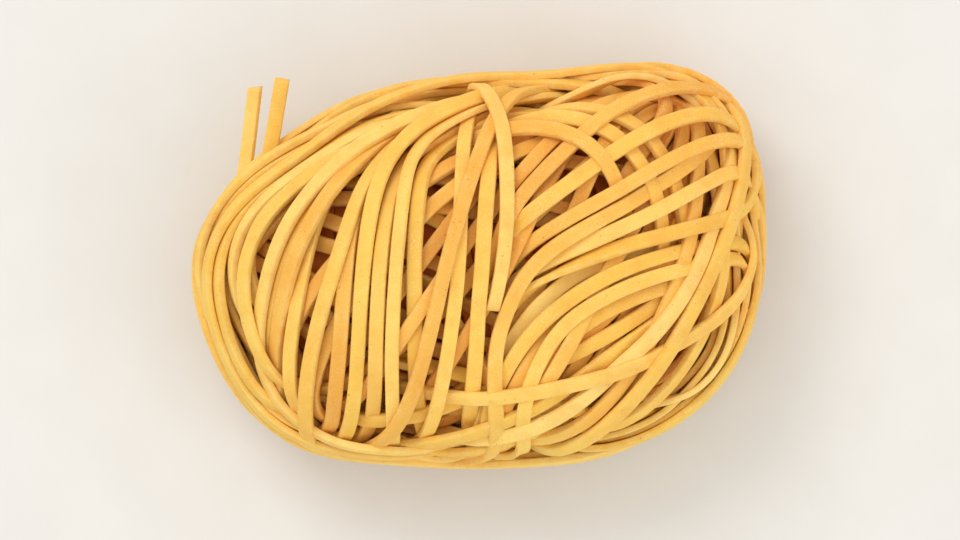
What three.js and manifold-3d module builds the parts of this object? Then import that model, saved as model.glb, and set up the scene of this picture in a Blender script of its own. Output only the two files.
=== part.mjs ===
// Dry pasta nest: one rounded oblong bundle of thin, flat egg noodles, about 85 x 60 x 38 mm,
// as it dries in its mould. The nest is a single closed solid out to its uneven outline:
// a body with a flat underside that it rests on, sides ridged by the noodles that run round
// it, and a low, lopsided crown with the noodles that lie over it:
//   rim loops     ridges round the side at several heights, rising and falling;
//   crossing arcs come up from the far long side, cross the crown and go down the near one,
//                 the leftmost bowed round like the rim;
//   fan strands   come in from the right end and turn down into the crossing arcs;
//   under strands lie lengthwise beneath the others and show between them;
//   loose ends    two cut ends that stand off the left end.
//
// Frame: millimetres, +Z up, X along the nest's length, Y across it, origin under the middle
// of its bounding box on the surface that it stands on.

import * as THREE from "three";
import { mergeVertices } from "three/addons/utils/BufferGeometryUtils.js";
import Module from "manifold-3d";

// Driving dimensions, in millimetres unless said otherwise
const HEIGHT = 37; // crown above the bench
const WAIST = 13; // height of the widest level
const FOOT_DEPTH = 16.5; // the lower part is the top of a form this deep, cut off flat at the bench
const ROUNDNESS = 2.5; // exponent of the side's profile: 2 is an ellipse, more is boxier
const OUTLINE_MEAN = 36.3; // mean radius of the outline at the waist
const OUTLINE_WAVES = [
  // cosine and sine amplitude of each harmonic of the outline's radius
  [2.09, -0.72],
  [6.8, 2.17],
  [-0.51, 0.3],
  [-0.68, 0.66],
  [-0.87, 0.11],
  [-0.31, -0.46],
  [-0.22, -0.11],
  [0.18, -0.26],
];
const TILT = [-0.03, 0.035]; // crown's rise towards +X and +Y, as a share of its height
const HOLLOW = { x: 8, y: -5, depth: 3.2, spread: 11 }; // shallow dip near the middle of the crown

const NOODLE_WIDTH = 2.5;
const NOODLE_THICK = 1.9;
const NOODLE_STANDS = 1.25; // how far a noodle stands proud of the body under it
const RIM_LOOPS = 7;
const RIM_LOWEST = 2.6;
const RIM_HIGHEST = 30.5;
const RIM_WANDER = 1.1;
const RIM_AROUND = 38; // grid columns round the body
const SHOULDER = 0.82; // share of the outline where the noodles over the crown turn down
const CROSSING_ARCS = 12;
const ARC_STEPS = 10;
const FAN_STRANDS = 6;
const FAN_STEPS = 8;
const UNDER_STRANDS = 2;
const TUCK = 2.6; // how far the ends of the noodles over the crown go in
const LOOSE_ENDS = 2;
const LOOSE_LENGTH = 18.4;
const LOOSE_HEIGHT = 13.4;
const SLIVER = 0.25; // the smallest step that the joined surface keeps
const MERGE = 1e-3; // vertices this near to each other are one

// A repeatable number from 0 to 1 for each whole number
const chance = (n) => {
  const s = Math.sin(n * 127.1 + 11.7) * 43758.5453;
  return s - Math.floor(s);
};

function outline(phi) {
  return OUTLINE_WAVES.reduce(
    (r, [c, s], i) =>
      r + c * Math.cos((i + 1) * phi) + s * Math.sin((i + 1) * phi),
    OUTLINE_MEAN,
  );
}

// Height of the crown over a point of the plan
function crown(x, y) {
  const d2 = (x - HOLLOW.x) ** 2 + (y - HOLLOW.y) ** 2;
  return (
    HEIGHT * (1 + (TILT[0] * x + TILT[1] * y) / OUTLINE_MEAN) -
    HOLLOW.depth * Math.exp(-d2 / HOLLOW.spread ** 2)
  );
}

// A point of the nest's envelope: phi goes round it, and psi goes up its side, from below 0
// under the waist to a quarter turn at the crown. inset moves it inwards.
function envelope(phi, psi, inset = 0) {
  const share = Math.max(0, Math.cos(psi)) ** (2 / ROUNDNESS);
  const lift = Math.abs(Math.sin(psi)) ** (2 / ROUNDNESS);
  const r = Math.max(0, (outline(phi) - inset) * share);
  const x = r * Math.cos(phi);
  const y = r * Math.sin(phi);
  const z =
    psi < 0
      ? WAIST - FOOT_DEPTH * lift
      : WAIST + (crown(x, y) - inset - WAIST) * lift;
  return new THREE.Vector3(x, y, z);
}

// psi of a height on the side, taking the crown as level
function psiAt(z) {
  return z < WAIST
    ? -Math.asin(((WAIST - z) / FOOT_DEPTH) ** (ROUNDNESS / 2))
    : Math.asin(
        Math.min(1, (z - WAIST) / (HEIGHT - WAIST)) ** (ROUNDNESS / 2),
      );
}

// The envelope over a point of the plan. Past the shoulder the point goes on down the side
// by as much as the plan point lies outside it.
function over(x, y, inset = 0) {
  const phi = Math.atan2(y, x);
  const rho = outline(phi);
  const m = Math.hypot(x, y) / rho;
  if (m <= SHOULDER)
    return envelope(phi, Math.acos(m ** (ROUNDNESS / 2)), inset);
  const shoulder =
    WAIST + (HEIGHT - WAIST) * (1 - SHOULDER ** ROUNDNESS) ** (1 / ROUNDNESS);
  const down = shoulder - (m - SHOULDER) * rho * 0.95;
  return envelope(
    phi,
    Math.min(
      Math.acos(SHOULDER ** (ROUNDNESS / 2)),
      psiAt(Math.max(NOODLE_WIDTH / 2 + 0.6, down)),
    ),
    inset,
  );
}

// The body: rows from the bench up, three to a rim loop (valley, foot and crest of the
// ridge), then a smooth crown, on a sphere's grid.
function bodyGeometry() {
  const pitch = (RIM_HIGHEST - RIM_LOWEST) / (RIM_LOOPS - 1);
  const side = [];
  for (let k = 0; k < RIM_LOOPS; k++)
    for (const [at, inset] of [
      [-0.36, 0],
      [0.3, 0],
      [0.5, NOODLE_STANDS],
    ])
      side.push({ z: RIM_LOWEST + pitch * (k + at), inset, k });
  const top = [0.8, 0.58, 0.32, 0].map((m) => ({ m, inset: NOODLE_STANDS }));
  const rows = side.length + top.length; // the bench row and the pole make two more
  const g = new THREE.SphereGeometry(1, RIM_AROUND, rows + 1);
  const p = g.getAttribute("position");
  for (let i = 0; i < p.count; i++) {
    const row = Math.floor(i / (RIM_AROUND + 1)); // 0 is the top pole
    const phi =
      (((i % (RIM_AROUND + 1)) % RIM_AROUND) / RIM_AROUND) * 2 * Math.PI;
    if (row === rows + 1) {
      p.setXYZ(i, 0, 0, 0);
    } else if (row === rows) {
      const v = envelope(phi, psiAt(0), NOODLE_STANDS);
      p.setXYZ(i, v.x, v.y, 0);
    } else if (row < top.length) {
      const { m, inset } = top[top.length - 1 - row];
      const v = envelope(phi, Math.acos(m ** (ROUNDNESS / 2)), inset);
      p.setXYZ(i, v.x, v.y, v.z);
    } else {
      const { z, inset, k } = side[side.length - 1 - (row - top.length)];
      const level = RIM_LOWEST + pitch * k;
      const wander =
        RIM_WANDER *
        Math.min(1, Math.max(0, (level - 3) / 6)) *
        (Math.sin(2 * phi + 0.22 * level) +
          0.6 * Math.sin(3 * phi - 0.17 * level + 2));
      const sway = 0.45 * Math.sin(4 * phi + 1.9 * k) * (level > 3 ? 1 : 0);
      const v = envelope(phi, psiAt(Math.max(0.5, z + wander)), inset + sway);
      p.setXYZ(i, v.x, v.y, Math.max(0.5, v.z));
    }
  }
  return g;
}

// A flat noodle swept along points
function noodle(points, steps) {
  const w = NOODLE_WIDTH / 2;
  const t = NOODLE_THICK / 2;
  const section = new THREE.Shape()
    .moveTo(-t, -w)
    .lineTo(t, -w)
    .lineTo(t, w)
    .lineTo(-t, w)
    .closePath();
  return new THREE.ExtrudeGeometry(section, {
    steps,
    extrudePath: new THREE.CatmullRomCurve3(points, false, "centripetal"),
    bevelEnabled: false,
  });
}

// Points over the nest for t from 0 to 1, whose last ones at either end are tucked in
// under the rim loops
function laid(plan, n, inset) {
  const points = [];
  for (let i = 0; i <= n; i++) {
    const t = i / n;
    const [x, y] = plan(t);
    const tuck = Math.max(0, Math.abs(2 * t - 1) - 0.82) / 0.18;
    points.push(over(x, y, inset + TUCK * tuck ** 2));
  }
  return points;
}

// Crossing arc k: up the far long side, over the crown and down the near one
function crossingArc(k) {
  const u = k / (CROSSING_ARCS - 1);
  const middle = -33 + 37 * u; // where it crosses the length
  const far = 43 - 3 * chance(k + 5);
  const near = 44 - 5 * chance(k + 15);
  const plan = (t) => {
    const y = far - (far + near) * t;
    const up = Math.max(0, y + 4) / 28;
    const down = Math.max(0, -4 - y) / 28;
    return [
      middle +
        (13 - 8 * u) * up ** 2 +
        (9 - 11 * u) * down ** 1.5 +
        0.8 * Math.sin(y / 9 + 6 * chance(k + 60)),
      y,
    ];
  };
  const lay = NOODLE_THICK / 2 - 0.35 * chance(k + 77);
  return noodle(laid(plan, 16, lay), ARC_STEPS);
}

// Fan strand k: up the right end, over the crown towards the middle, then down towards the
// near side
function fanStrand(k) {
  const u = k / (FAN_STRANDS - 1);
  const start = ((68 - 80 * u) * Math.PI) / 180;
  const from = [57 * Math.cos(start), 50 * Math.sin(start)];
  const bend = [3 + 22 * u, 3 - 5 * u];
  const to = [6 + 34 * u, -44 + 12 * u ** 2];
  const plan = (t) =>
    [0, 1].map(
      (j) =>
        (1 - t) ** 2 * from[j] + 2 * t * (1 - t) * bend[j] + t * t * to[j],
    );
  return noodle(laid(plan, 14, NOODLE_THICK / 2 - 0.3), FAN_STEPS);
}

// Under strand k: lengthwise, beneath the others
function underStrand(k) {
  const plan = (t) => [
    -24 + 56 * t,
    -10 + 17 * k + 2.2 * Math.sin(3 * t + 4 * chance(k + 31)),
  ];
  return noodle(laid(plan, 10, NOODLE_THICK / 2 + 0.5), FAN_STEPS);
}

// Loose end k: leaves the left end along the side and stands clear of it
function looseEnd(k) {
  const points = [];
  for (let i = 0; i <= 4; i++) {
    const t = i / 4;
    points.push(
      new THREE.Vector3(
        -30.6 - 4.1 * k + 2.3 * t * t,
        9 - 1.2 * k + LOOSE_LENGTH * t,
        LOOSE_HEIGHT - 2.8 * k + t,
      ),
    );
  }
  return noodle(points, 4);
}

const wasm = await Module();
wasm.setup();

function solid(geometry) {
  const g = (geometry.index ? geometry.toNonIndexed() : geometry).clone();
  g.deleteAttribute("normal");
  g.deleteAttribute("uv");
  const m = mergeVertices(g, MERGE);
  return new wasm.Manifold(
    new wasm.Mesh({
      numProp: 3,
      vertProperties: m.getAttribute("position").array,
      triVerts: new Uint32Array(m.index.array),
    }),
  );
}

function geometryOf(body) {
  const made = body.getMesh();
  const vertices = new Float32Array(made.numVert * 3);
  for (let i = 0; i < made.numVert; i++)
    vertices.set(
      made.vertProperties.subarray(i * made.numProp, i * made.numProp + 3),
      i * 3,
    );
  return new THREE.BufferGeometry()
    .setAttribute("position", new THREE.BufferAttribute(vertices, 3))
    .setIndex(new THREE.BufferAttribute(made.triVerts, 1));
}

const many = (count, make) => Array.from({ length: count }, (_, k) => make(k));
const strands = [
  ...many(UNDER_STRANDS, underStrand),
  ...many(CROSSING_ARCS, crossingArc),
  ...many(FAN_STRANDS, fanStrand),
  ...many(LOOSE_ENDS, looseEnd),
];
let nest = solid(bodyGeometry());
for (const s of strands) nest = nest.add(solid(s));

// Slivers where noodles graze each other are smoothed away. Then the origin is put under
// the middle of the bounding box, on the bench.
const joined = geometryOf(nest.simplify(SLIVER));
joined.computeBoundingBox();
const middle = joined.boundingBox.getCenter(new THREE.Vector3());
joined.translate(-middle.x, -middle.y, -joined.boundingBox.min.z);

// Pockets sealed between crossing noodles are filled, by keeping only the outer shell
const shell = solid(joined)
  .decompose()
  .reduce((most, b) => (b.volume() > most.volume() ? b : most));
const geometry = geometryOf(shell);
geometry.computeVertexNormals();

const pasta = new THREE.MeshStandardMaterial({
  color: new THREE.Color(0.86, 0.66, 0.33),
  roughness: 0.62,
  metalness: 0,
});

const group = new THREE.Group();
const mesh = new THREE.Mesh(geometry, pasta);
mesh.name = "pasta_nest";
group.add(mesh);

export default group;
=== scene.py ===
"""A dry pasta nest: real noodles, laid, packed and pressed into shape, over a smaller core.

The noodles are laid as paths over the nest's envelope, in layers. A relaxation then gives
each its flat section and its stiffness, lets them rest on one another, and keeps them inside
the envelope and out of the core. The results are swept into meshes, one for each kind.
All lengths in the simulation are millimetres, in the envelope's own frame.
"""

import math

import bpy
import numpy as np
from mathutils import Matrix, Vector


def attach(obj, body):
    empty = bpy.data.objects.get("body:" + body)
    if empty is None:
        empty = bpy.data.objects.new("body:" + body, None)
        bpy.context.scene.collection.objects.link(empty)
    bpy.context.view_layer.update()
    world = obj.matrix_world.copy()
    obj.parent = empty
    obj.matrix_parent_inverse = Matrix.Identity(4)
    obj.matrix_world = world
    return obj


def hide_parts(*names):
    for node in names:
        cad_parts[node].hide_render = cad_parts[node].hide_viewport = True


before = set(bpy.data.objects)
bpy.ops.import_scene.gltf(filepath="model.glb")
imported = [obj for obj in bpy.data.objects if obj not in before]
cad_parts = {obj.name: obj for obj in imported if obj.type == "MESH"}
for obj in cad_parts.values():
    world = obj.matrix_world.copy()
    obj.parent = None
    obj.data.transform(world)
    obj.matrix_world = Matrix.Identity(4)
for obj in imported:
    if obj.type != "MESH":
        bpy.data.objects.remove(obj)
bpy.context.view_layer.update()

# ------------------------------------------------------------------ the envelope

HEIGHT, WAIST, FOOT, POWER = 37.0, 13.0, 16.5, 2.5
MEAN = 36.3
WAVES = (
    (2.09, -0.72), (6.8, 2.17), (-0.51, 0.3), (-0.68, 0.66),
    (-0.87, 0.11), (-0.31, -0.46), (-0.22, -0.11), (0.18, -0.26),
)
TILT = (-0.03, 0.035)
HOLLOW = (8.0, -5.0, 3.2, 11.0)
ORIGIN = (-0.732, 0.261, 0.0)  # the envelope's middle in the row frame

# ------------------------------------------------------------------ the noodles

STEP = 2.2  # spacing of the points along a noodle
HALF_WIDTH, HALF_THICK, CORNER = 1.15, 0.57, 0.28
rng = np.random.default_rng(11)


def unit(v):
    return v / (np.sqrt((v * v).sum(-1, keepdims=True)) + 1e-12)


def dot(a, b):
    return np.einsum("ij,ij->i", a, b)


def smooth(t, a=0.0, b=1.0):
    t = np.clip((t - a) / (b - a), 0, 1)
    return t * t * (3 - 2 * t)


def outline(phi):
    r = np.full_like(phi, MEAN)
    d = np.zeros_like(phi)
    for i, (c, s) in enumerate(WAVES, 1):
        co, si = np.cos(i * phi), np.sin(i * phi)
        r += c * co + s * si
        d += i * (s * co - c * si)
    return r, d


def crown(x, y):
    hx, hy, depth, spread = HOLLOW
    dip = depth * np.exp(-((x - hx) ** 2 + (y - hy) ** 2) / spread**2)
    return HEIGHT * (1 + (TILT[0] * x + TILT[1] * y) / MEAN) - dip


def shell(p):
    """How far points lie outside the envelope, and its outward normal there."""
    x, y, z = p[:, 0], p[:, 1], p[:, 2]
    r = np.hypot(x, y) + 1e-9
    R, dR = outline(np.arctan2(y, x))
    up = z >= WAIST
    H = np.where(up, crown(x, y) - WAIST, FOOT)
    a, b = r / R, np.abs(z - WAIST) / H
    a15, b15 = a**1.5, b**1.5
    f = a * a15 + b * b15
    g = f ** (1 / POWER)
    k = g / np.maximum(f, 1e-9)
    gr, gp = k * a15 / R, -k * a15 * dR / (R * R)
    gz = k * b15 / H * np.where(up, 1, -1)
    cx, sx = x / r, y / r
    n = np.stack([gr * cx - gp * sx, gr * sx + gp * cx, gz], 1)
    m = np.sqrt((n * n).sum(1)) + 1e-12
    return (g - 1) / m, n / m[:, None]


def onto(p):
    """Points moved onto the envelope, which is cut off flat at the bench; and its normal."""
    for _ in range(3):
        d, n = shell(p)
        p = p - d[:, None] * n
    low = p[:, 2] <= 0
    p[low, 2] = 0
    n[low] = (0, 0, -1)
    return p, n


def share(p):
    """Plan distance from the middle, as a share of the outline's."""
    return np.hypot(p[:, 0], p[:, 1]) / outline(np.arctan2(p[:, 1], p[:, 0]))[0]


def walk(start, heading, count, steer):
    """Follows steer over the envelope from each start, all noodles at once."""
    p, n = onto(start.copy())
    d = heading.copy()
    out, normals = [p], [n]
    for i in range(count):
        # no noodle turns sharply
        d = (0.5 if i else 0) * d + unit(steer(i, p, n, d))
        d = unit(d - dot(d, n)[:, None] * n)
        q, _ = onto(p + STEP * d)
        L = np.sqrt(((q - p) ** 2).sum(1))[:, None]
        p, n = onto(p + STEP * d * np.clip(STEP / np.maximum(L, 0.5), 0.8, 1.6))
        out.append(p)
        normals.append(n)
    return np.stack(out, 1), np.stack(normals, 1)


def level_and_down(n):
    level = unit(np.stack([-n[:, 1], n[:, 0], np.zeros(len(n))], 1))
    down = np.cross(n, level)
    return level, np.where(down[:, 2:3] > 0, -down, down)


def wander(count, scale, amount):
    """Smooth random numbers along a noodle."""
    v = rng.normal(0, 1, int(count / scale) + 4)
    x = np.arange(count) / scale
    i = x.astype(int)
    f = smooth(x - i)
    return amount * (v[i] * (1 - f) + v[i + 1] * f)


def ends(count, reach):
    """1 at either end of a noodle, 0 from reach points inwards."""
    t = np.arange(count)
    return smooth(reach - np.minimum(t, count - 1 - t), 0, reach)


noodles = []
inner = []


def lay(points, normals, inset, twist, kind):
    noodles.append((points - normals * inset[:, None], normals, twist, kind))


def seeded(layer):
    """Each layer has its own random numbers, so that it doesn't depend on the others."""

    def run(*args):
        global rng
        rng = np.random.default_rng([11, len(layer.__name__), sum(map(ord, layer.__name__))])
        layer(*args)

    return run


def over_the_crown(seeds, heading, turns, shoulders, levels, counts):
    """Noodles from seeds on the crown both ways, over the shoulder, then round the side.

    heading gives their direction in plan, turns the way each end turns round the side,
    shoulders the share of the outline where it starts to turn, levels the height that it
    settles at. Gives for each noodle its points, their normals and the seed's index.
    """
    k = len(seeds)
    halves = []
    for way in (0, 1):
        sign = (1, -1)[way]
        turn, m1, at = turns[way][:, None], shoulders[way], levels[way]

        def steer(i, p, n, d):
            a = heading(p[:, 0], p[:, 1], i * sign)
            v = np.stack([np.cos(a), np.sin(a), 0 * a], 1) * sign
            level, down = level_and_down(n)
            steep = smooth(1 - np.abs(n[:, 2]), 0.35, 0.9)[:, None]
            go = unit(v - dot(v, n)[:, None] * n) * (1 - steep) + down * steep
            w = smooth(share(p), m1, m1 + 0.21)[:, None]
            w = np.where(p[:, 2:3] < WAIST, 1.0, w)
            sink = np.clip((p[:, 2] - at) / 7, -0.5, 0.9)[:, None]
            # one that already goes round one way keeps that way
            round_ = dot(level, d)[:, None]
            side = np.where(np.abs(round_) > 0.25, np.sign(round_), turn)
            return (1 - w) * go + w * (side * level + sink * down)

        halves.append(walk(seeds, np.zeros((k, 3)), 52, steer))
    out = []
    for j in range(k):
        far, near = counts[j]
        out.append(
            tuple(
                np.concatenate([halves[1][c][j, :near][::-1], halves[0][c][j, 1:far]])
                for c in (0, 1)
            )
            + (near,)
        )
    return out


def heading_of_crossers(bend, wobble):
    """Crossing noodles: nearly straight over the left half, leaning to the right at the
    left end; over the right half they fan out from a hub near the middle."""

    def heading(x, y, i):
        own = bend + 0.045 * np.sin(i * 0.4 + wobble)
        lean = 1 - smooth(x, -22.5, -12.5)
        # towards the far side they turn to the right, one inside the other
        out = np.hypot(x, y) / outline(np.arctan2(y, x))[0]
        late = 0.1 * (1 - smooth(x, -22, -14))
        turned = smooth(out, 0.4 + late, 0.84 + late) * smooth(y, -2, 9) * (1 - smooth(x, -4, 1.5))
        straight = np.radians(88 - 17 * lean - 46 * turned)
        fan = np.arctan2(np.maximum(y + 8, 1.0), 1.9 * np.maximum(x - 1, 0.5))
        arcs = np.arctan2(33.0 - x, np.maximum(y + 26, 0.5))
        right = arcs + (fan - arcs) * smooth(y, -9, 6)
        w = smooth(x - (4.0 + 0.2 * np.maximum(y, -6)), -3.5, 3.5)
        return straight * (1 - w) + right * w + own

    return heading


@seeded
def lay_crossers():
    xs = np.array(
        # the wider steps leave long gaps that show the dark inside
        [-35, -32.9, -30.8, -28.6, -22.9, -20.1, -17.3, -14.6, -11.9, -9.0, -6.3, 1.9, 4.6]
        + [10.8, 14, 17.2, 20.4, 23.6]
    )
    k = len(xs)
    xs = xs + rng.normal(0, 0.25, k)
    seeds = np.stack([xs, np.full(k, -6.0), np.full(k, 40.0)], 1)
    bend = rng.normal(0, np.radians(4.5), k) * np.where(xs < 9, 1, 0.5)
    rim = xs < -32  # these follow the rim
    far = np.where(rim, 0.83, np.where(xs < -8, 0.72, 0.84)) + rng.uniform(-0.04, 0.04, k)
    near = np.where(rim, 0.84, 0.86) + rng.uniform(-0.04, 0.04, k)
    levels = [
        np.where(rim, 28.2 + 0.45 * (xs + 34.5), rng.uniform(6, 27, k)) for _ in (0, 1)
    ]
    made = over_the_crown(
        seeds,
        heading_of_crossers(bend, rng.uniform(0, 6.28, k)),
        (-np.ones(k), -np.ones(k)),
        (far, near),
        levels,
        rng.integers(26, 41, (k, 2)),
    )
    for p, n, mid in made:
        t = np.arange(len(p))
        a, b = rng.uniform(1.5, 5.0, 2)
        inset = 1.0 + smooth(mid - t, 16, 40) * a + smooth(t - mid, 16, 40) * b
        # every second one starts under its neighbours, and slips under them at the far side
        under = len(noodles) % 2
        inset += (rng.uniform(0, 0.7) + under) * smooth(18 - np.abs(t - mid), 0, 8)
        inset += 2.2 * under * smooth(t - mid, 6, 13)
        inset += 2.0 * ends(len(p), 5)
        twist = wander(len(p), 14, 0.55)
        if rng.random() < 0.22:
            twist += 1.3 * smooth(np.abs(t - mid - rng.uniform(-6, 6)), 14, 4)
        lay(p, n, inset, twist, "crown")


@seeded
def lay_fan():
    """More fan noodles, from the right end to the hub, where they slip under."""
    a = np.radians([63, 50, 38, 27, 16])
    k = len(a)
    seeds = np.stack([1 + 20 * np.cos(a), -5 + 22 * np.sin(a), np.full(k, 40.0)], 1)
    far = rng.uniform(0.78, 0.88, k)
    made = over_the_crown(
        seeds,
        heading_of_crossers(np.zeros(k), np.zeros(k)),
        (-np.ones(k), -np.ones(k)),
        (far, far),
        (rng.uniform(6, 24, k), rng.uniform(6, 24, k)),
        np.stack([rng.integers(24, 38, k), rng.integers(8, 11, k)], 1),
    )
    for p, n, mid in made:
        t = np.arange(len(p))
        inset = 0.8 + 3.2 * smooth(7 - t, 0, 7) + 3.0 * smooth(t - mid, 14, 30)
        lay(p, n, inset, wander(len(p), 14, 0.4), "crown")


def evenly(p, n):
    """The same path in steps of STEP."""
    s = np.concatenate([[0], np.cumsum(np.sqrt(((p[1:] - p[:-1]) ** 2).sum(1)))])
    t = np.arange(0, s[-1], STEP)
    p = np.stack([np.interp(t, s, p[:, c]) for c in range(3)], 1)
    return p, unit(np.stack([np.interp(t, s, n[:, c]) for c in range(3)], 1))


@seeded
def lay_arcs():
    """Arcs over the fan's far ends."""
    for cx, rx, ry, a0, a1, depth in (
        (-4.5, 29.0, 29.0, 96, 0, 0.6),
        (-2.5, 31.5, 31.2, 92, -24, 0.9),
        (-1.0, 35.6, 33.4, 92, -18, 1.2),
    ):
        a = np.radians(np.linspace(a0, a1, 60))
        p, n = evenly(*onto(np.stack([cx + rx * np.cos(a), 0.5 + ry * np.sin(a), 0 * a + 40], 1)))
        lay(p, n, depth + 4.0 * ends(len(p), 7), wander(len(p), 14, 0.4), "crown")


@seeded
def lay_strays():
    """Noodles that lie their own way: over the near right corner, and a few elsewhere."""
    strays = np.array(
        [
            # middle, heading in degrees, bend at each step, depth, shoulder, steps on and back
            (27, -12, 50, 0.022, 1.0, 0.86, 24, 22),
            (21, -15.5, 33, -0.012, 1.3, 0.83, 22, 26),
            (30, -6, 66, 0.03, 1.2, 0.88, 20, 24),
            (15, -19.5, 14, 0.028, 0.9, 0.85, 26, 13),
            (24, -8.5, 30, 0.004, 2.2, 0.82, 18, 28),
            (17.5, -12, 46, 0.018, 2.6, 0.84, 22, 20),
            (28.5, -16, 58, -0.004, 0.6, 0.87, 27, 18),
            (13, -14, 62, -0.02, 1.6, 0.84, 20, 22),
            (4.0, 12, 90, 0.035, 0.1, 1.0, 17, 9),
            (-2, -20.5, 162, 0.022, 2.4, 0.86, 8, 22),
            (-1.2, -10, 111, -0.01, 2.2, 0.86, 5, 20),
            (-3.8, -9, 84, 0.006, 1.3, 0.86, 24, 22),
        ]
    )
    k = len(strays)
    x, y, a0, bend, depth, shoulder, on, back = strays.T
    a0 = np.radians(a0)
    made = over_the_crown(
        np.stack([x, y, np.full(k, 40.0)], 1),
        lambda x, y, i: a0 + bend * np.clip(i, -24, 5),
        (np.where(x > 8, 1.0, -1.0), -np.ones(k)),
        (shoulder, shoulder),
        rng.uniform(12, 25, (2, k)),
        np.stack([on, back], 1).astype(int),
    )
    for (p, n, mid), inset in zip(made, depth):
        lay(p, n, inset + 2.5 * ends(len(p), 9), wander(len(p), 12, 0.45), "crown")


def lay_loose_ends():
    """Two cut ends that stand off the left end; they are held where they are."""
    for path, turn in (
        (((-31, -18, 8), (-35.4, -8, 9.2), (-35.6, 3, 10.2), (-33.9, 14, 11), (-32.4, 26.2, 11.6)), 0.9),
        (((-31.5, -15, 12), (-34.2, -5, 12.6), (-33.2, 5, 13.1), (-30.3, 16, 13.7), (-28.3, 27.4, 14.4)), 1.3),
    ):
        c = np.array(path, float)
        q = np.concatenate([[2 * c[0] - c[1]], c, [2 * c[-1] - c[-2]]])
        tt = np.linspace(0, 4, 80)
        i = np.minimum(tt.astype(int), 3)
        f = (tt - i)[:, None]
        A, B, C, D = q[i], q[i + 1], q[i + 2], q[i + 3]
        p = 0.5 * (2 * B + (C - A) * f + (2 * A - 5 * B + 4 * C - D) * f**2 + (3 * B - A - 3 * C + D) * f**3)
        s = np.concatenate([[0], np.cumsum(np.sqrt(((p[1:] - p[:-1]) ** 2).sum(1)))])
        t = np.linspace(0, s[-1], int(s[-1] / STEP) + 1)
        p = np.stack([np.interp(t, s, p[:, c]) for c in range(3)], 1)
        n = unit(np.tile([-1.0, 0.5, 0.3], (len(p), 1)))
        lay(p, n, np.zeros(len(p)), np.full(len(p), turn), "loose")


@seeded
def lay_rim():
    """Loops round the side, three layers deep."""
    for layer, heights, depth in (
        (0, (2.0, 4.6, 7.3, 10.0, 12.8, 15.7, 18.8, 22.2), 1.0),
        (1, (4.0, 9.5, 15.0, 20.5), 3.8),
        (2, (5.0, 12.0, 19.0), 6.6),
    ):
        z0 = np.array(heights)
        k = len(z0)
        phi = rng.uniform(-math.pi, math.pi, k)
        half = np.where(z0 > WAIST, HEIGHT - WAIST, FOOT)
        r = outline(phi)[0] * (1 - (np.abs(z0 - WAIST) / half) ** POWER) ** (1 / POWER)
        turn = rng.choice([-1.0, 1.0], k)[:, None]
        w1, w2 = rng.uniform(0, 6.28, (2, k))
        amount = (0.4 + 0.09 * z0) * (1 + 0.6 * layer)
        drift = rng.uniform(-1, 1, k) * (0.008 + 0.01 * layer)

        def steer(i, p, n, d):
            a = np.arctan2(p[:, 1], p[:, 0])
            to = z0 + amount * (np.sin(2 * a + w1) + 0.5 * np.sin(3 * a + w2))
            to = np.clip(to + drift * i * STEP, 1.6, 32)
            level, down = level_and_down(n)
            return turn * level + np.clip((p[:, 2] - to) / 5, -0.7, 0.7)[:, None] * down

        start = np.stack([r * np.cos(phi), r * np.sin(phi), z0], 1)
        P, N = walk(start, np.zeros((k, 3)), 128, steer)
        for j in range(k):
            L = int(rng.integers(96, 128) if layer < 2 else rng.integers(70, 110))
            inset = depth + wander(L, 18, 0.35) + 3.0 * ends(L, 9) * (layer < 2)
            lay(P[j, :L], N[j, :L], inset, wander(L, 16, 0.35), "rim")


@seeded
def lay_turns():
    """Noodles that go part of the way round, high on the side, and dip in at their ends."""
    for height, a0, a1, depth in (
        (16.5, 118, 248, 1.0),
        (19.2, 96, 232, 1.2),
        (21.8, 84, 255, 0.9),
        (24.6, 78, 238, 1.0),
        (27.2, 92, 218, 0.8),
        (29.6, 104, 232, 1.0),
        (31.2, 112, 212, 1.4),
        (17.5, 62, -70, 1.1),
        (20.6, 44, -92, 0.9),
        (23.8, 72, -52, 1.2),
        (27.0, 36, -78, 1.0),
        (24.6, -48, -128, 1.2),
        (27.6, -62, -110, 1.4),
    ):
        a = np.radians(np.linspace(a0, a1, 70))
        t = np.linspace(-1, 1, 70)
        z = height + rng.normal(0, 1.0) * t + 1.2 * np.sin(2.2 * t + rng.uniform(0, 6)) - 3.5 * t**6
        r = outline(a)[0] * (1 - (np.maximum(z - WAIST, 0) / (HEIGHT - WAIST)) ** POWER) ** (1 / POWER)
        p, n = evenly(*onto(np.stack([r * np.cos(a), r * np.sin(a), z], 1)))
        lay(p, n, depth + 3.0 * ends(len(p), 8), wander(len(p), 16, 0.4), "rim")


@seeded
def lay_under():
    """Two layers under the crossing noodles, each its own way."""
    for degrees, lines, depth in (
        (58, np.arange(-34, 36, 4.2), 3.6),
        (-24, np.arange(-24, 26, 4.6), 5.6),
    ):
        k = len(lines)
        a0 = np.radians(degrees + rng.normal(0, 6, k))
        off = lines + rng.normal(0, 0.8, k)
        ar = math.radians(degrees)
        seeds = np.stack([-math.sin(ar) * off, math.cos(ar) * off, np.full(k, 40.0)], 1)
        bend = rng.normal(0, 0.012, k)
        made = over_the_crown(
            seeds,
            lambda x, y, i: a0 + bend * i,
            rng.choice([-1.0, 1.0], (2, k)),
            rng.uniform(0.7, 0.85, (2, k)),
            rng.uniform(4, 28, (2, k)),
            rng.integers(20, 38, (k, 2)),
        )
        for (p, n, mid), line in zip(made, lines):
            inset = depth + wander(len(p), 15, 0.5)
            twist = wander(len(p), 12, 0.5)
            # none under the long gap at the left, where they would lie along it and close it
            if degrees == 58 and 19 < line < 26:
                continue
            lay(p, n, inset, twist, "under")


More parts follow.
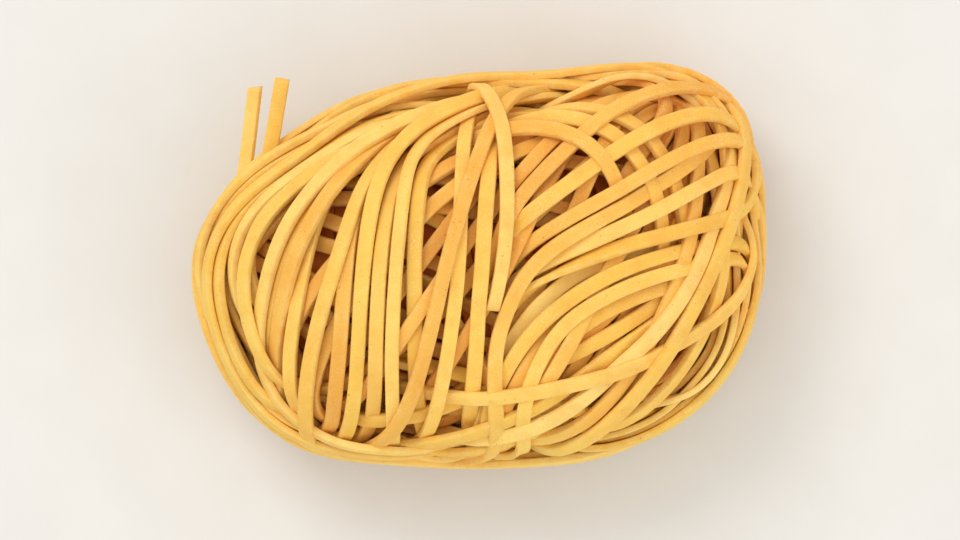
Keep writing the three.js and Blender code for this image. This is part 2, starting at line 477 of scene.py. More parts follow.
@seeded
def lay_base():
    """Two layers over the underside that turn up round the side."""
    for degrees, lines, depth in (
        (25, np.arange(-24.7, 25, 2.75), 0.7),
        (-48, np.arange(-30.6, 31, 3.6), 2.6),
    ):
        k = len(lines)
        a0 = np.radians(degrees + rng.normal(0, 4, k))
        ar = math.radians(degrees)
        off = lines * 0.9 + rng.normal(0, 0.35, k)
        seeds = np.stack([-math.sin(ar) * off, math.cos(ar) * off, np.full(k, -2.0)], 1)
        bend = 0.014 + rng.normal(0, 0.008, k)
        halves = []
        for sign in (1, -1):
            at = rng.uniform(2.5, 13, k)

            def steer(i, p, n, d):
                a = a0 + bend * i * sign
                v = np.stack([np.cos(a), np.sin(a), 0 * a], 1) * sign
                level, down = level_and_down(n)
                sink = np.clip((p[:, 2] - at) / 5, -0.9, 0.9)[:, None]
                along = np.where(dot(level, d) + 0.1 * sign < 0, -1.0, 1.0)[:, None]
                side = along * level + sink * down
                w = smooth(share(p), 0.5, 0.85)[:, None]
                go = (1 - w) * v + w * side
                return np.where(n[:, 2:3] < -0.98, go, d * 0.75 + side * 0.25)

            go = np.stack([np.cos(a0), np.sin(a0), 0 * a0], 1) * sign
            halves.append(walk(seeds, go, 34, steer))
        for j in range(k):
            far, near = rng.integers(16, 34, 2)
            p, n = (
                np.concatenate([halves[1][c][j, :near][::-1], halves[0][c][j, 1:far]])
                for c in (0, 1)
            )
            lay(p, n, depth + 2.2 * ends(len(p), 6), wander(len(p), 14, 0.15), "base")


def within(p, across, deep, z0, up):
    """Points of the envelope as they lie on the smaller shape inside it."""
    return p * (across, deep, up) + (0, 0, z0)


@seeded
def lay_inside():
    """One layer over the core, which closes the view through the gaps. It isn't relaxed."""

    def fixed(p, n, off):
        p = within(p, 0.775, 0.69, 5.2 + off, 0.672)
        inner.append((p, unit(n * (1 / 0.775, 1 / 0.69, 1 / 0.672))))

    lines = np.arange(-38, 39, 3.3)
    k = len(lines)
    seeds = np.stack([lines + rng.normal(0, 0.4, k), rng.normal(0, 2, k), np.full(k, 40.0)], 1)
    a0 = np.radians(100 + rng.normal(0, 5, k))
    made = over_the_crown(
        seeds,
        lambda x, y, i: a0 + 0.01 * i,
        rng.choice([-1.0, 1.0], (2, k)),
        rng.uniform(0.72, 0.86, (2, k)),
        rng.uniform(12, 26, (2, k)),
        rng.integers(18, 28, (k, 2)),
    )
    for p, n, mid in made:
        fixed(p, n, rng.uniform(-0.25, 0.25))
    for z in np.arange(3.0, 29, 3.4):
        a = np.linspace(0, 2 * np.pi, 130) + rng.uniform(0, 6)
        half = HEIGHT - WAIST if z > WAIST else FOOT
        r = outline(a)[0] * (1 - (abs(z - WAIST) / half) ** POWER) ** (1 / POWER)
        zz = z + 0.8 * np.sin(2 * a + z)
        p, n = evenly(*onto(np.stack([r * np.cos(a), r * np.sin(a), zz], 1)))
        fixed(p, n, 0.0)
    for y in np.arange(-24, 25, 3.3):
        x = np.linspace(-34, 34, 60) * math.sqrt(1 - (y / 30) ** 2)
        p = np.stack([x, y + 1.5 * np.sin(x / 14 + y), 0 * x], 1)
        p, n = evenly(p, np.tile([0.0, 0.0, -1.0], (60, 1)))
        fixed(p, n, rng.uniform(-0.2, 0.2))


# ------------------------------------------------------------------ the relaxation


def neighbours(mid, reach):
    """Pairs of points nearer than reach, by a grid of cells."""
    c = np.floor((mid - mid.min(0)) / reach).astype(np.int64) + 1
    dims = c.max(0) + 2
    key = (c[:, 0] * dims[1] + c[:, 1]) * dims[2] + c[:, 2]
    order = np.argsort(key, kind="stable")
    ks = key[order]
    every = np.arange(len(ks))
    I, J = [], []
    for dx in (0, 1):
        for dy in (-1, 0, 1):
            for dz in (-1, 0, 1):
                if (dx, dy, dz) < (0, 0, 0):
                    continue
                if (dx, dy, dz) == (0, 0, 0):
                    off, lo = 0, every + 1
                else:
                    off = (dx * dims[1] + dy) * dims[2] + dz
                    lo = np.searchsorted(ks, ks + off, "left")
                count = np.maximum(np.searchsorted(ks, ks + off, "right") - lo, 0)
                i = np.repeat(every, count)
                j = np.arange(count.sum()) + np.repeat(lo - (np.cumsum(count) - count), count)
                I.append(order[i])
                J.append(order[j])
    I, J = np.concatenate(I), np.concatenate(J)
    ok = ((mid[I] - mid[J]) ** 2).sum(1) < reach * reach
    return I[ok], J[ok]


def closest(p1, d1, p2, d2):
    """Where two segments come nearest, as shares along them."""
    r = p1 - p2
    a, e, f = dot(d1, d1), dot(d2, d2), dot(d2, r)
    c, b = dot(d1, r), dot(d1, d2)
    den = a * e - b * b
    s = np.where(den > 1e-6, np.clip((b * f - c * e) / np.maximum(den, 1e-6), 0, 1), 0.5)
    t = (b * s + f) / np.maximum(e, 1e-9)
    t2 = np.clip(t, 0, 1)
    s = np.where(t != t2, np.clip((b * t2 - c) / np.maximum(a, 1e-9), 0, 1), s)
    return s, t2


class Bundle:
    def __init__(self):
        P, W, number = [], [], []
        for k, (p, n, twist, kind) in enumerate(noodles):
            t = unit(np.gradient(p, axis=0))
            side = unit(np.cross(n, t))
            up = np.cross(t, side)
            P.append(p)
            W.append(side * np.cos(twist)[:, None] + up * np.sin(twist)[:, None])
            number.append(np.full(len(p), k))
        self.p, self.w = np.concatenate(P), np.concatenate(W)
        self.number = np.concatenate(number)
        self.start, self.w0 = self.p.copy(), self.w.copy()
        n = len(self.p)
        self.same = self.number[:-1] == self.number[1:]
        self.seg = np.nonzero(self.same)[0]
        self.inner = np.nonzero(self.same[:-1] & self.same[1:])[0] + 1
        self.length = np.clip(np.sqrt(((self.p[1:] - self.p[:-1]) ** 2).sum(1)), 1.6, 2.7)
        j = np.arange(3, n - 3)
        self.spans = [(1, self.inner, 1.0), (3, j[self.number[j - 3] == self.number[j + 3]], 0.6)]
        self.rest = [
            0.5 * (self.start[i - k] + self.start[i + k]) - self.start[i]
            for k, i, _ in self.spans
        ]
        held = np.array([kind == "loose" for *_, kind in noodles])
        self.held = held[self.number]

    def section(self, w, other, d):
        """Half the section's reach towards d, for a flat section with round corners."""
        return (
            (HALF_WIDTH - CORNER) * np.abs(dot(w, d))
            + (HALF_THICK - CORNER) * np.abs(dot(other, d))
            + CORNER
        )

    def frames(self):
        d = self.p[1:] - self.p[:-1]
        d[~self.same] = 0
        t = np.zeros_like(self.p)
        t[:-1] += d
        t[1:] += d
        self.t = unit(t)
        self.w = unit(self.w - dot(self.w, self.t)[:, None] * self.t)

    def pairs(self):
        k = self.seg
        i, j = neighbours(0.5 * (self.p[k] + self.p[k + 1]), 4.7)
        a, b = k[i], k[j]
        ok = (self.number[a] != self.number[b]) | (np.abs(a - b) > 4)
        a, b = a[ok], b[ok]
        p = self.p
        da, db = p[a + 1] - p[a], p[b + 1] - p[b]
        u, v = closest(p[a], da, p[b], db)
        d = p[a] + u[:, None] * da - p[b] - v[:, None] * db
        ok = dot(d, d) < (2 * HALF_WIDTH + 0.9) ** 2
        self.pair = a[ok], b[ok]

    def contacts(self, grown, push, spin):
        """Pushes noodles apart where their sections meet, by the shortest way out."""
        p, w = self.p, self.w
        a, b = self.pair
        da, db = p[a + 1] - p[a], p[b + 1] - p[b]
        u, v = closest(p[a], da, p[b], db)
        d = p[b] + v[:, None] * db - p[a] - u[:, None] * da
        dist = np.sqrt(dot(d, d))
        near = dist < 2 * HALF_WIDTH * grown + 0.1
        a, b, u, v, d, da, db = (q[near] for q in (a, b, u, v, d, da, db))
        dist = np.maximum(dist[near], 1e-6)
        ta, tb = unit(da), unit(db)
        wa, wb = w[a] + w[a + 1], w[b] + w[b + 1]
        wa = unit(wa - dot(wa, ta)[:, None] * ta)
        wb = unit(wb - dot(wb, tb)[:, None] * tb)
        na, nb = np.cross(ta, wa), np.cross(tb, wb)
        A, B, R = HALF_WIDTH - CORNER, HALF_THICK - CORNER, CORNER
        dwa, dna, dwb, dnb = dot(d, wa), dot(d, na), dot(d, wb), dot(d, nb)
        ww, wn = np.abs(dot(wa, wb)), np.abs(dot(wa, nb))
        nw, nn = np.abs(dot(na, wb)), np.abs(dot(na, nb))
        deep = np.stack(
            [
                (A * (np.abs(dwa) + np.abs(dwb)) + B * (np.abs(dna) + np.abs(dnb))) / dist * grown
                + 2 * R * grown
                - dist,
                grown * (B + 2 * R + A * nw + B * nn) - np.abs(dna),
                grown * (B + 2 * R + A * wn + B * nn) - np.abs(dnb),
                grown * (A + 2 * R + A * ww + B * wn) - np.abs(dwa),
                grown * (A + 2 * R + A * ww + B * nw) - np.abs(dwb),
            ]
        )
        # the sideways ways out are for noodles that lie along each other
        deep[1:] += 0.25 * (1 - np.abs(dot(ta, tb)))
        which = np.argmin(deep, 0)
        pen = np.take_along_axis(deep, which[None], 0)[0] + 0.02
        hit = pen > 0
        a, b, u, v, which, pen = a[hit], b[hit], u[hit], v[hit], which[hit], pen[hit]
        U = d[hit] / dist[hit][:, None]
        wa, wb = wa[hit], wb[hit]
        for c, axis, s in ((1, na[hit], dna[hit]), (2, nb[hit], dnb[hit]), (3, wa, dwa[hit]), (4, wb, dwb[hit])):
            m = which == c
            U[m] = axis[m] * np.where(s[m] < 0, -1.0, 1.0)[:, None]
        lam = pen / ((1 - u) ** 2 + u * u + (1 - v) ** 2 + v * v)
        at = np.concatenate([a, a + 1, b, b + 1])
        move = np.concatenate([-(1 - u) * lam, -u * lam, (1 - v) * lam, v * lam])
        sa, sb = dot(wa, U) * pen, dot(wb, U) * pen
        turn = np.concatenate([sa, sa, sb, sb])
        U = np.concatenate([U] * 4)
        n = len(p)
        several = np.maximum(np.bincount(at, minlength=n), 1) ** 0.75
        for c in range(3):
            p[:, c] += push * np.bincount(at, move * U[:, c], n) / several
            # the flats turn towards what presses on them
            w[:, c] -= spin * np.bincount(at, turn * U[:, c], n) / several
        return pen

    def step(self, grown, sink, hold, spin, stiff):
        self.frames()
        p = self.p
        d, n = shell(p)
        e = self.start - p
        p += hold * (e - dot(e, n)[:, None] * n)
        p -= sink * n
        pen = self.contacts(grown, 0.9, spin)
        for (k, i, much), rest in zip(self.spans, self.rest):
            c = stiff * much * (0.5 * (p[i - k] + p[i + k]) - p[i] - rest)
            p[i] += c * 0.5
            p[i - k] -= c * 0.25
            p[i + k] -= c * 0.25
        for seg in (self.seg[self.seg % 2 == 0], self.seg[self.seg % 2 == 1]):
            d = p[seg + 1] - p[seg]
            L = np.sqrt(dot(d, d))
            c = (0.5 * (L - self.length[seg]) / np.maximum(L, 1e-6))[:, None] * d
            p[seg] += c
            p[seg + 1] -= c
        i = self.inner
        self.w[i] += 0.15 * (self.w[i - 1] + self.w[i + 1] - 2 * self.w[i])
        # inside the envelope, over the bench, out of the core
        other = np.cross(self.t, self.w)
        d, n = shell(p)
        p -= np.maximum(0, d + grown * self.section(self.w, other, n))[:, None] * n
        bench = np.zeros_like(p)
        bench[:, 2] = 1
        p[:, 2] = np.maximum(p[:, 2], grown * self.section(self.w, other, bench))
        d, n = shell(p)
        p += np.clip(-(d + core_depth(n)), 0, 0.4)[:, None] * n
        p[self.held], self.w[self.held] = self.start[self.held], self.w0[self.held]
        return pen


def core_depth(n):
    """How deep under the envelope the noodles' middles may lie, by which way it faces."""
    return 8.5 - 3.2 * smooth(n[:, 2], 0.45, 0.9) - 0.8 * smooth(-n[:, 2], 0.45, 0.9)


def relax(bundle, rounds=420, growing=170, sinking=240):
    for i in range(rounds):
        if i % 10 == 0:
            bundle.pairs()
        late = i > sinking
        pen = bundle.step(
            grown=0.4 + 0.6 * min(1, i / growing),
            sink=0 if late else 0.02,
            hold=0.02 if i < growing else 0.004,
            spin=0.05 if late else 0.25,
            stiff=0.3 if late else 0.5,
        )
    print("noodles press into each other by %.3f mm on average" % pen.mean(), len(pen), "contacts")


lay_crossers()
lay_fan()
lay_arcs()
lay_strays()
lay_loose_ends()
lay_rim()
lay_turns()
lay_under()
lay_base()
lay_inside()
bundle = Bundle()
print(len(noodles), "noodles,", round(len(bundle.p) * STEP / 1000, 1), "m")
relax(bundle)
bundle.frames()

# ------------------------------------------------------------------ the meshes

FINE = 3  # rings to a step
EDGE = 0.2  # corner radius of the drawn section
SHRUNK = 0.93  # the drawn section is this much smaller, so that pressed noodles keep a groove between them


def section_points():
    """The noodle's section: flat, slightly full faces and small round corners."""
    a, b = HALF_WIDTH * SHRUNK - EDGE, HALF_THICK * SHRUNK - EDGE
    points = []
    for cx, cy, first in ((a, b, 0), (-a, b, 90), (-a, -b, 180), (a, -b, 270)):
        for turn in (0, 45, 90):
            t = math.radians(first + turn)
            points.append((cx + EDGE * math.cos(t), cy + EDGE * math.sin(t)))
        if first in (0, 180):
            points.append((0.0, math.copysign(HALF_THICK * SHRUNK + 0.03, cy)))
    return np.array(points)


SECTION = section_points()
AROUND = len(SECTION)
side_lengths = np.sqrt(((np.roll(SECTION, -1, 0) - SECTION) ** 2).sum(1))
GIRTH = side_lengths.sum()
ROUND = np.concatenate([[0], np.cumsum(side_lengths)])


def finer(P, m):
    """Catmull-Rom points, m to a step."""
    q = np.concatenate([[2 * P[0] - P[1]], P, [2 * P[-1] - P[-2]]])
    a, b, c, d = q[:-3], q[1:-2], q[2:-1], q[3:]
    rows = []
    for k in range(m):
        t = k / m
        rows.append(0.5 * (2 * b + (c - a) * t + (2 * a - 5 * b + 4 * c - d) * t**2 + (3 * b - a - 3 * c + d) * t**3))
    return np.concatenate([np.stack(rows, 1).reshape(-1, 3), P[-1:]])


def sweep(paths, name, fine=FINE, tints=(0.0, 1.0)):
    """One mesh of all these noodles, with a strip of the map for each."""
    lengths, rings = [], []
    for P, W in paths:
        for _ in range(2):  # takes the last unevenness out of the path
            P[1:-1] += 0.25 * (P[:-2] + P[2:] - 2 * P[1:-1])
            W[1:-1] += 0.25 * (W[:-2] + W[2:] - 2 * W[1:-1])
        P, W = finer(P, fine), finer(W, fine)
        T = unit(np.gradient(P, axis=0))
        W = unit(W - dot(W, T)[:, None] * T)
        rings.append((P, W, np.cross(T, W), T))
        lengths.append(np.sqrt(((P[1:] - P[:-1]) ** 2).sum(1)).sum())
    # the map: strips wound to and fro over a square, GIRTH high
    gap = 0.5
    total = sum(lengths) + 8 * len(lengths)
    side = math.sqrt(total * (GIRTH + gap)) * 1.02 + 4
    row_count = 0
    u_at = 0.0
    verts, quads, uvs, caps, cap_uvs, tint, along, edge = [], [], [], [], [], [], [], []
    base = 0
    faces_ring = np.arange(AROUND)
    for k, (P, W, N, T) in enumerate(rings):
        count = len(P)
        # own size, slowly changing along it, and slightly frayed edges
        own_w = 1 + 0.035 * rng.normal()
        own_t = 1 + 0.05 * rng.normal()
        wide = own_w + wander(count, 9 * fine, 0.025) + wander(count, 1.2 * fine, 0.008)
        thick = own_t + wander(count, 8 * fine, 0.035) + wander(count, 1.5 * fine, 0.01)
        cup = wander(count, 12 * fine, 0.05)  # the flats bow a little
        sx, sy = SECTION[None, :, 0] * wide[:, None], SECTION[None, :, 1] * thick[:, None]
        sy = sy + cup[:, None] * (1 - 2 * (SECTION[None, :, 0] / HALF_WIDTH) ** 2)
        # cut ends are a little slanted
        slant = np.zeros((count, AROUND))
        slant[0] = sx[0] * rng.uniform(-0.25, 0.25)
        slant[-1] = sx[-1] * rng.uniform(-0.25, 0.25)
        V = P[:, None] + W[:, None] * sx[..., None] + N[:, None] * sy[..., None] + T[:, None] * slant[..., None]
        verts.append(V.reshape(-1, 3))
        i = np.arange(count - 1)[:, None] * AROUND
        j = faces_ring[None]
        j2 = (j + 1) % AROUND
        # round the noodle first and then along it, so that the faces point out
        quads.append(np.stack([i + j, i + j2, i + AROUND + j2, i + AROUND + j], -1).reshape(-1, 4) + base)
        s = np.concatenate([[0], np.cumsum(np.sqrt(((P[1:] - P[:-1]) ** 2).sum(1)))])
        # strips of the map, broken where a row is full
        u0 = np.empty(count - 1)
        u1 = np.empty(count - 1)
        v0 = np.empty(count - 1)
        for q in range(count - 1):
            d = s[q + 1] - s[q]
            if u_at + d > side - 2:
                row_count += 1
                u_at = 1.0
            u0[q], u1[q], v0[q] = u_at, u_at + d, row_count * (GIRTH + gap) + 0.5
            u_at += d
        u_at += 4.0
        cu = u_at - 3.4
        if cu + 3.0 > side:
            row_count += 1
            cu, u_at = 1.0, 5.0
        cv = row_count * (GIRTH + gap) + 0.5
        ra, rb = GIRTH - ROUND[:-1][None], GIRTH - ROUND[1:][None]
        U0, U1, V0 = u0[:, None], u1[:, None], v0[:, None]
        uv = np.stack(
            [
                np.stack([U0 + 0 * ra, V0 + ra], -1),
                np.stack([U0 + 0 * rb, V0 + rb], -1),
                np.stack([U1 + 0 * rb, V0 + rb], -1),
                np.stack([U1 + 0 * ra, V0 + ra], -1),
            ],
            2,
        )
        uvs.append(uv.reshape(-1, 2))
        for end, shift in ((0, 0.0), (count - 1, 3.2)):
            loop = faces_ring + base + end * AROUND
            flat = np.stack([SECTION[:, 0] + HALF_WIDTH + 0.1, SECTION[:, 1] + HALF_THICK + 0.1], 1)
            flat = flat[:, ::-1] + (cu, cv + shift)
            if not end:
                loop, flat = loop[::-1], flat[::-1]
            caps.append(loop)
            cap_uvs.append(flat)
        # the shades are spread evenly, with unlike ones side by side
        tint.append(np.full(count * AROUND, tints[0] + (tints[1] - tints[0]) * ((0.618 * k + 0.92) % 1)))
        along.append(np.repeat(s + 1000 * rng.random(), AROUND))
        rim = np.abs(SECTION[:, 0]) / HALF_WIDTH
        edge.append(np.tile(smooth(rim, 0.55, 1.0), count))
        base += count * AROUND
    V = (np.concatenate(verts) + ORIGIN) / 1000
    V[:, 2] = np.maximum(V[:, 2], 0.0)
    quads = np.concatenate(quads)
    height = (row_count + 1) * (GIRTH + gap) + 0.6
    scale = 1 / max(side + 0.5, height)
    me = bpy.data.meshes.new(name)
    loops = np.concatenate([quads.ravel()] + caps)
    sizes = np.concatenate([np.full(len(quads), 4), np.full(len(caps), AROUND)])
    starts = np.concatenate([[0], np.cumsum(sizes)[:-1]])
    me.vertices.add(len(V))
    me.vertices.foreach_set("co", V.astype(np.float32).ravel())
    me.loops.add(len(loops))
    me.loops.foreach_set("vertex_index", loops.astype(np.int32))
    me.polygons.add(len(sizes))
    me.polygons.foreach_set("loop_start", starts.astype(np.int32))
    me.polygons.foreach_set("loop_total", sizes.astype(np.int32))
    me.update(calc_edges=True)
    flags = np.ones(len(sizes), bool)
    flags[len(quads):] = False
    me.polygons.foreach_set("use_smooth", flags)
    layer = me.uv_layers.new(name="OFBake")
    layer.data.foreach_set("uv", (np.concatenate(uvs + cap_uvs) * scale).astype(np.float32).ravel())
    for key, values in (("tint", tint), ("along", along), ("edge", edge)):
        me.attributes.new(key, "FLOAT", "POINT").data.foreach_set("value", np.concatenate(values).astype(np.float32))
    me.validate()
    ob = bpy.data.objects.new(name, me)
    bpy.context.scene.collection.objects.link(ob)
    print(name, len(paths), "noodles,", len(quads) * 2 + len(caps) * (AROUND - 2), "triangles")
    return ob


def relaxed(*kinds):
    """The paths of these kinds of noodle, and the directions of their widths."""
    numbers = [k for k, (*_, kind) in enumerate(noodles) if kind in kinds]
    return [(bundle.p[bundle.number == k], bundle.w[bundle.number == k]) for k in numbers]


rng = np.random.default_rng(7)
pieces = [
    sweep(relaxed("crown"), "noodles_crown"),
    # the rim noodles take only the paler shades of the dough: a painted reflection along the outer loops
    sweep(relaxed("rim", "loose"), "noodles_rim", tints=(0.3, 1.0)),
    # the under noodles take only the darker shades of the dough: painted shade
    sweep(relaxed("under"), "noodles_under", tints=(0.0, 0.6)),
    sweep(relaxed("base"), "noodles_base"),
    sweep([(p, np.cross(n, unit(np.gradient(p, axis=0)))) for p, n in inner], "noodles_inside", 2),
]


def core_mesh():
    """A smaller shape, which the inmost noodles are half sunk in."""
    around, rows = 96, 48
    phi = np.linspace(0, 2 * np.pi, around, endpoint=False)
    psi = np.linspace(-np.pi / 2, np.pi / 2, rows + 1)[1:-1]
    PH, PS = np.meshgrid(phi, psi)
    s, lift = np.cos(PS) ** 0.8, np.abs(np.sin(PS)) ** 0.8
    r = outline(PH.ravel())[0].reshape(PH.shape) * s
    x, y = r * np.cos(PH), r * np.sin(PH)
    z = np.where(PS < 0, WAIST - FOOT * lift, WAIST + (crown(x, y) - WAIST) * lift)
    p = np.concatenate([[[0, 0, WAIST - FOOT]], np.stack([x, y, z], -1).reshape(-1, 3), [[0, 0, crown(0.0, 0.0)]]])
    p[:, 2] = np.maximum(p[:, 2], 0)
    q = within(p, 0.765, 0.68, 5.7, 0.65)
    faces = []
    top = len(q) - 1
    for j in range(around):
        k = (j + 1) % around
        faces.append((0, 1 + k, 1 + j))
        faces.append((top, top - around + j, top - around + k))
        for i in range(rows - 2):
            a = 1 + i * around
            faces.append((a + j, a + k, a + around + k, a + around + j))
    me = bpy.data.meshes.new("nest_core")
    me.from_pydata(((q + ORIGIN) / 1000).tolist(), [], faces)
    me.polygons.foreach_set("use_smooth", [True] * len(faces))
    ob = bpy.data.objects.new("nest_core", me)
    bpy.context.scene.collection.objects.link(ob)
    return ob


core = core_mesh()

# ------------------------------------------------------------------ the materials


def nodes_of(material):
    material.use_nodes = True
    tree = material.node_tree
    return tree, tree.nodes["Principled BSDF"]


def add(tree, kind, **values):
    node = tree.nodes.new(kind)
    for key, value in values.items():
        if key in node.inputs:
            node.inputs[key].default_value = value
        else:
            setattr(node, key, value)
    return node


def mix(tree, a, b, factor, blend="MIX"):
    node = add(tree, "ShaderNodeMix", data_type="RGBA", blend_type=blend)
    for socket, value in ((node.inputs[6], a), (node.inputs[7], b), (node.inputs[0], factor)):
        if hasattr(value, "links"):
            tree.links.new(value, socket)
        else:
            socket.default_value = value
    return node.outputs[2]


def maths(tree, operation, a, b=0.0, clamp=False):
    node = add(tree, "ShaderNodeMath", operation=operation, use_clamp=clamp)
    for socket, value in ((node.inputs[0], a), (node.inputs[1], b)):
        if hasattr(value, "links"):
            tree.links.new(value, socket)
        else:
            socket.default_value = value
    return node.outputs[0]


def spread(tree, value, low, high, to_low=0.0, to_high=1.0):
    node = add(tree, "ShaderNodeMapRange", clamp=True)
    tree.links.new(value, node.inputs[0])
    for i, v in zip((1, 2, 3, 4), (low, high, to_low, to_high)):
        node.inputs[i].default_value = v
    return node.outputs[0]


def linear(r, g, b):
    """A display colour, 0 to 255, as the shader wants it."""
    out = []
    for c in (r, g, b):
        c /= 255
        out.append(c / 12.92 if c <= 0.04045 else ((c + 0.055) / 1.055) ** 2.4)
    return (*out, 1.0)


def pasta_material(name, deep=0.0):
    """Dry egg pasta; deep is how far the colour goes towards a painted shade orange, for noodles that lie in others'
    shade.
    """
    material = bpy.data.materials.new(name)
    tree, shader = nodes_of(material)
    link = tree.links.new
    where = add(tree, "ShaderNodeTexCoord").outputs["Object"]
    tint = add(tree, "ShaderNodeAttribute", attribute_name="tint").outputs["Fac"]
    edge = add(tree, "ShaderNodeAttribute", attribute_name="edge").outputs["Fac"]
    along = add(tree, "ShaderNodeAttribute", attribute_name="along").outputs["Fac"]

    def noise(scale, detail=3.0, rough=0.55, vector=where):
        node = add(tree, "ShaderNodeTexNoise", Scale=scale, Detail=detail, Roughness=rough)
        link(vector, node.inputs["Vector"])
        return node.outputs["Fac"]

    # the dough: straw yellow, each noodle its own shade, cloudy along its length
    shade = add(tree, "ShaderNodeValToRGB")
    link(tint, shade.inputs["Fac"])
    ramp = shade.color_ramp.elements
    ramp[0].color, ramp[1].color = linear(236, 170, 66), linear(253, 215, 120)
    for at, tone in ((0.3, (246, 192, 84)), (0.55, (241, 192, 74)), (0.8, (251, 203, 92))):
        ramp.new(at).color = linear(*tone)
    colour = shade.outputs["Color"]
    cloudy = spread(tree, noise(230, 4, 0.6), 0.4, 0.68)
    colour = mix(tree, colour, linear(230, 160, 54), maths(tree, "MULTIPLY", cloudy, 0.45))
    slow = spread(tree, noise(48, 2), 0.42, 0.66)
    colour = mix(tree, colour, linear(250, 217, 108), maths(tree, "MULTIPLY", slow, 0.45))
    # more golden towards the far right than the rest
    place = add(tree, "ShaderNodeSeparateXYZ")
    link(where, place.inputs[0])
    across = maths(tree, "ADD", maths(tree, "MULTIPLY", place.outputs["X"], 0.5), place.outputs["Y"])
    colour = mix(tree, colour, linear(244, 172, 60), spread(tree, across, -0.002, 0.036, 0, 0.38))
    # painted shade: the dough goes by deep towards the orange that noodles show in others' shade
    colour = mix(tree, colour, linear(236, 138, 44), deep)
    # paler where it is drier, at the edges, and where flour has stuck
    worn = maths(tree, "MULTIPLY", edge, spread(tree, noise(700, 3), 0.35, 0.7))
    colour = mix(tree, colour, linear(255, 226, 156), maths(tree, "MULTIPLY", worn, 0.35))
    flour = maths(tree, "MULTIPLY", spread(tree, noise(190, 3), 0.42, 0.7, 0.25, 1.0), spread(tree, noise(4200, 3, 0.6), 0.52, 0.72, 0, 0.6))
    colour = mix(tree, colour, linear(255, 236, 184), flour)
    # specks of bran
    bran = spread(tree, noise(2300, 1, 0.4), 0.735, 0.8, 0, 0.5)
    colour = mix(tree, colour, linear(170, 100, 34), bran)
    link(colour, shader.inputs["Base Color"])
    link(spread(tree, noise(900, 3), 0.3, 0.7, 0.55, 0.78), shader.inputs["Roughness"])
    shader.inputs["Specular IOR Level"].default_value = 0.35
    # little and shallow: where noodles press together, deep scattering would turn them greenish
    shader.inputs["Subsurface Weight"].default_value = 0.1
    shader.inputs["Subsurface Radius"].default_value = (1.0, 0.6, 0.25)
    shader.inputs["Subsurface Scale"].default_value = 0.0006
    # the surface: rough and floury, with fine lines along the noodle
    lines = add(tree, "ShaderNodeCombineXYZ")
    link(maths(tree, "MULTIPLY", along, 0.05), lines.inputs["X"])
    link(maths(tree, "MULTIPLY", edge, 3.0), lines.inputs["Y"])
    link(maths(tree, "MULTIPLY", tint, 90.0), lines.inputs["Z"])
    drawn = noise(4.0, 3, 0.6, lines.outputs["Vector"])
    height = maths(tree, "ADD", maths(tree, "MULTIPLY", noise(1000, 4, 0.62), 0.8), maths(tree, "MULTIPLY", drawn, 0.5))
    height = maths(tree, "ADD", height, maths(tree, "MULTIPLY", noise(3600, 3, 0.6), 0.28))
    bump = add(tree, "ShaderNodeBump", Strength=0.6, Distance=0.00016)
    link(height, bump.inputs["Height"])
    link(bump.outputs["Normal"], shader.inputs["Normal"])
    return material


def inside_material(name, dark, light):
    """The inmost noodles and the core, seen only through the gaps: a darker, redder dough, painted shade for the depths
    of the nest.
    """
    material = bpy.data.materials.new(name)
    tree, shader = nodes_of(material)
    where = add(tree, "ShaderNodeTexCoord").outputs["Object"]
    node = add(tree, "ShaderNodeTexNoise", Scale=240.0, Detail=4.0)
    fine = add(tree, "ShaderNodeTexNoise", Scale=1200.0, Detail=3.0)
    tree.links.new(where, node.inputs["Vector"])
    tree.links.new(where, fine.inputs["Vector"])
    colour = mix(tree, linear(*dark), linear(*light), spread(tree, node.outputs["Fac"], 0.35, 0.65))
    tree.links.new(colour, shader.inputs["Base Color"])
    shader.inputs["Roughness"].default_value = 0.75
    bump = add(tree, "ShaderNodeBump", Strength=0.5, Distance=0.00015)
    tree.links.new(fine.outputs["Fac"], bump.inputs["Height"])
    tree.links.new(bump.outputs["Normal"], shader.inputs["Normal"])
    return material


pasta = pasta_material("dry_egg_pasta")
for piece in pieces[:-1]:
    piece.data.materials.append(pasta)
# the under noodles get a fifth of the painted shade orange
pieces[2].data.materials[0] = pasta_material("dry_egg_pasta_painted_shade", 0.2)
# painted shade: the inside noodles and the core are darker and redder than the dough outside
pieces[-1].data.materials.append(inside_material("dry_egg_pasta_inside_painted_shade", (214, 112, 34), (238, 150, 54)))
core.data.materials.append(inside_material("dry_egg_pasta_core_painted_shade", (190, 82, 22), (212, 116, 38)))
for piece in pieces + [core]:
    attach(piece, "root")
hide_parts("pasta_nest")
for piece in pieces[1:] + [core]:
    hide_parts("pasta_nest")

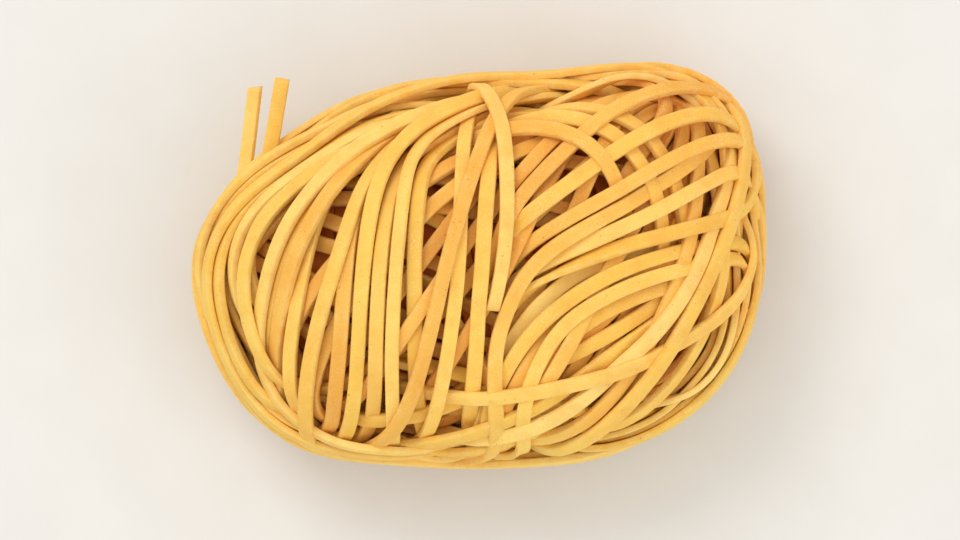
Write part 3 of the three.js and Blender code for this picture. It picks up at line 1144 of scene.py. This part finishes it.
# ------------------------------------------------------------------ the studio

scene = bpy.context.scene
floor_mesh = bpy.data.meshes.new("floor")
floor_mesh.from_pydata([(-3, -3, 0), (3, -3, 0), (3, 3, 0), (-3, 3, 0)], [], [(0, 1, 2, 3)])
floor = bpy.data.objects.new("floor", floor_mesh)
scene.collection.objects.link(floor)
paper = bpy.data.materials.new("pale_floor")
tree, shader = nodes_of(paper)
grain = add(tree, "ShaderNodeTexNoise", Scale=90.0, Detail=3.0)
tree.links.new(add(tree, "ShaderNodeTexCoord").outputs["Object"], grain.inputs["Vector"])
tree.links.new(
    mix(tree, linear(226, 224, 220), linear(232, 231, 228), grain.outputs["Fac"]), shader.inputs["Base Color"]
)
shader.inputs["Roughness"].default_value = 0.7
floor_mesh.materials.append(paper)

world = bpy.data.worlds.new("studio")
scene.world = world
world.use_nodes = True
world.node_tree.nodes["Background"].inputs["Color"].default_value = (1.0, 0.985, 0.96, 1)
world.node_tree.nodes["Background"].inputs["Strength"].default_value = 0.88


def softbox(name, place, size, watts, colour=(1, 1, 1)):
    light = bpy.data.lights.new(name, "AREA")
    light.shape = "SQUARE"
    light.size = size
    light.energy = watts
    light.color = colour
    ob = bpy.data.objects.new(name, light)
    ob.location = place
    ob.rotation_euler = (Vector((0, 0, 0.015)) - Vector(place)).to_track_quat("-Z", "Y").to_euler()
    scene.collection.objects.link(ob)


softbox("key", (-0.30, 0.42, 0.62), 0.36, 1.85, (1.0, 0.98, 0.95))
softbox("fill", (0.55, -0.35, 0.45), 0.5, 0.9, (1.0, 0.99, 0.97))

camera = bpy.data.cameras.new("camera")
camera.sensor_width = 36
camera.lens = 200
camera_ob = bpy.data.objects.new("camera", camera)
scene.collection.objects.link(camera_ob)
# straight down, as the tray is seen, with the far side at the top
WIDE = 0.140  # what the frame takes in, across
camera_ob.location = (0, -0.0005, 0.02 + WIDE * camera.lens / camera.sensor_width)
camera_ob.rotation_euler = (0, 0, 0)
scene.camera = camera_ob
scene.view_settings.view_transform = "Standard"
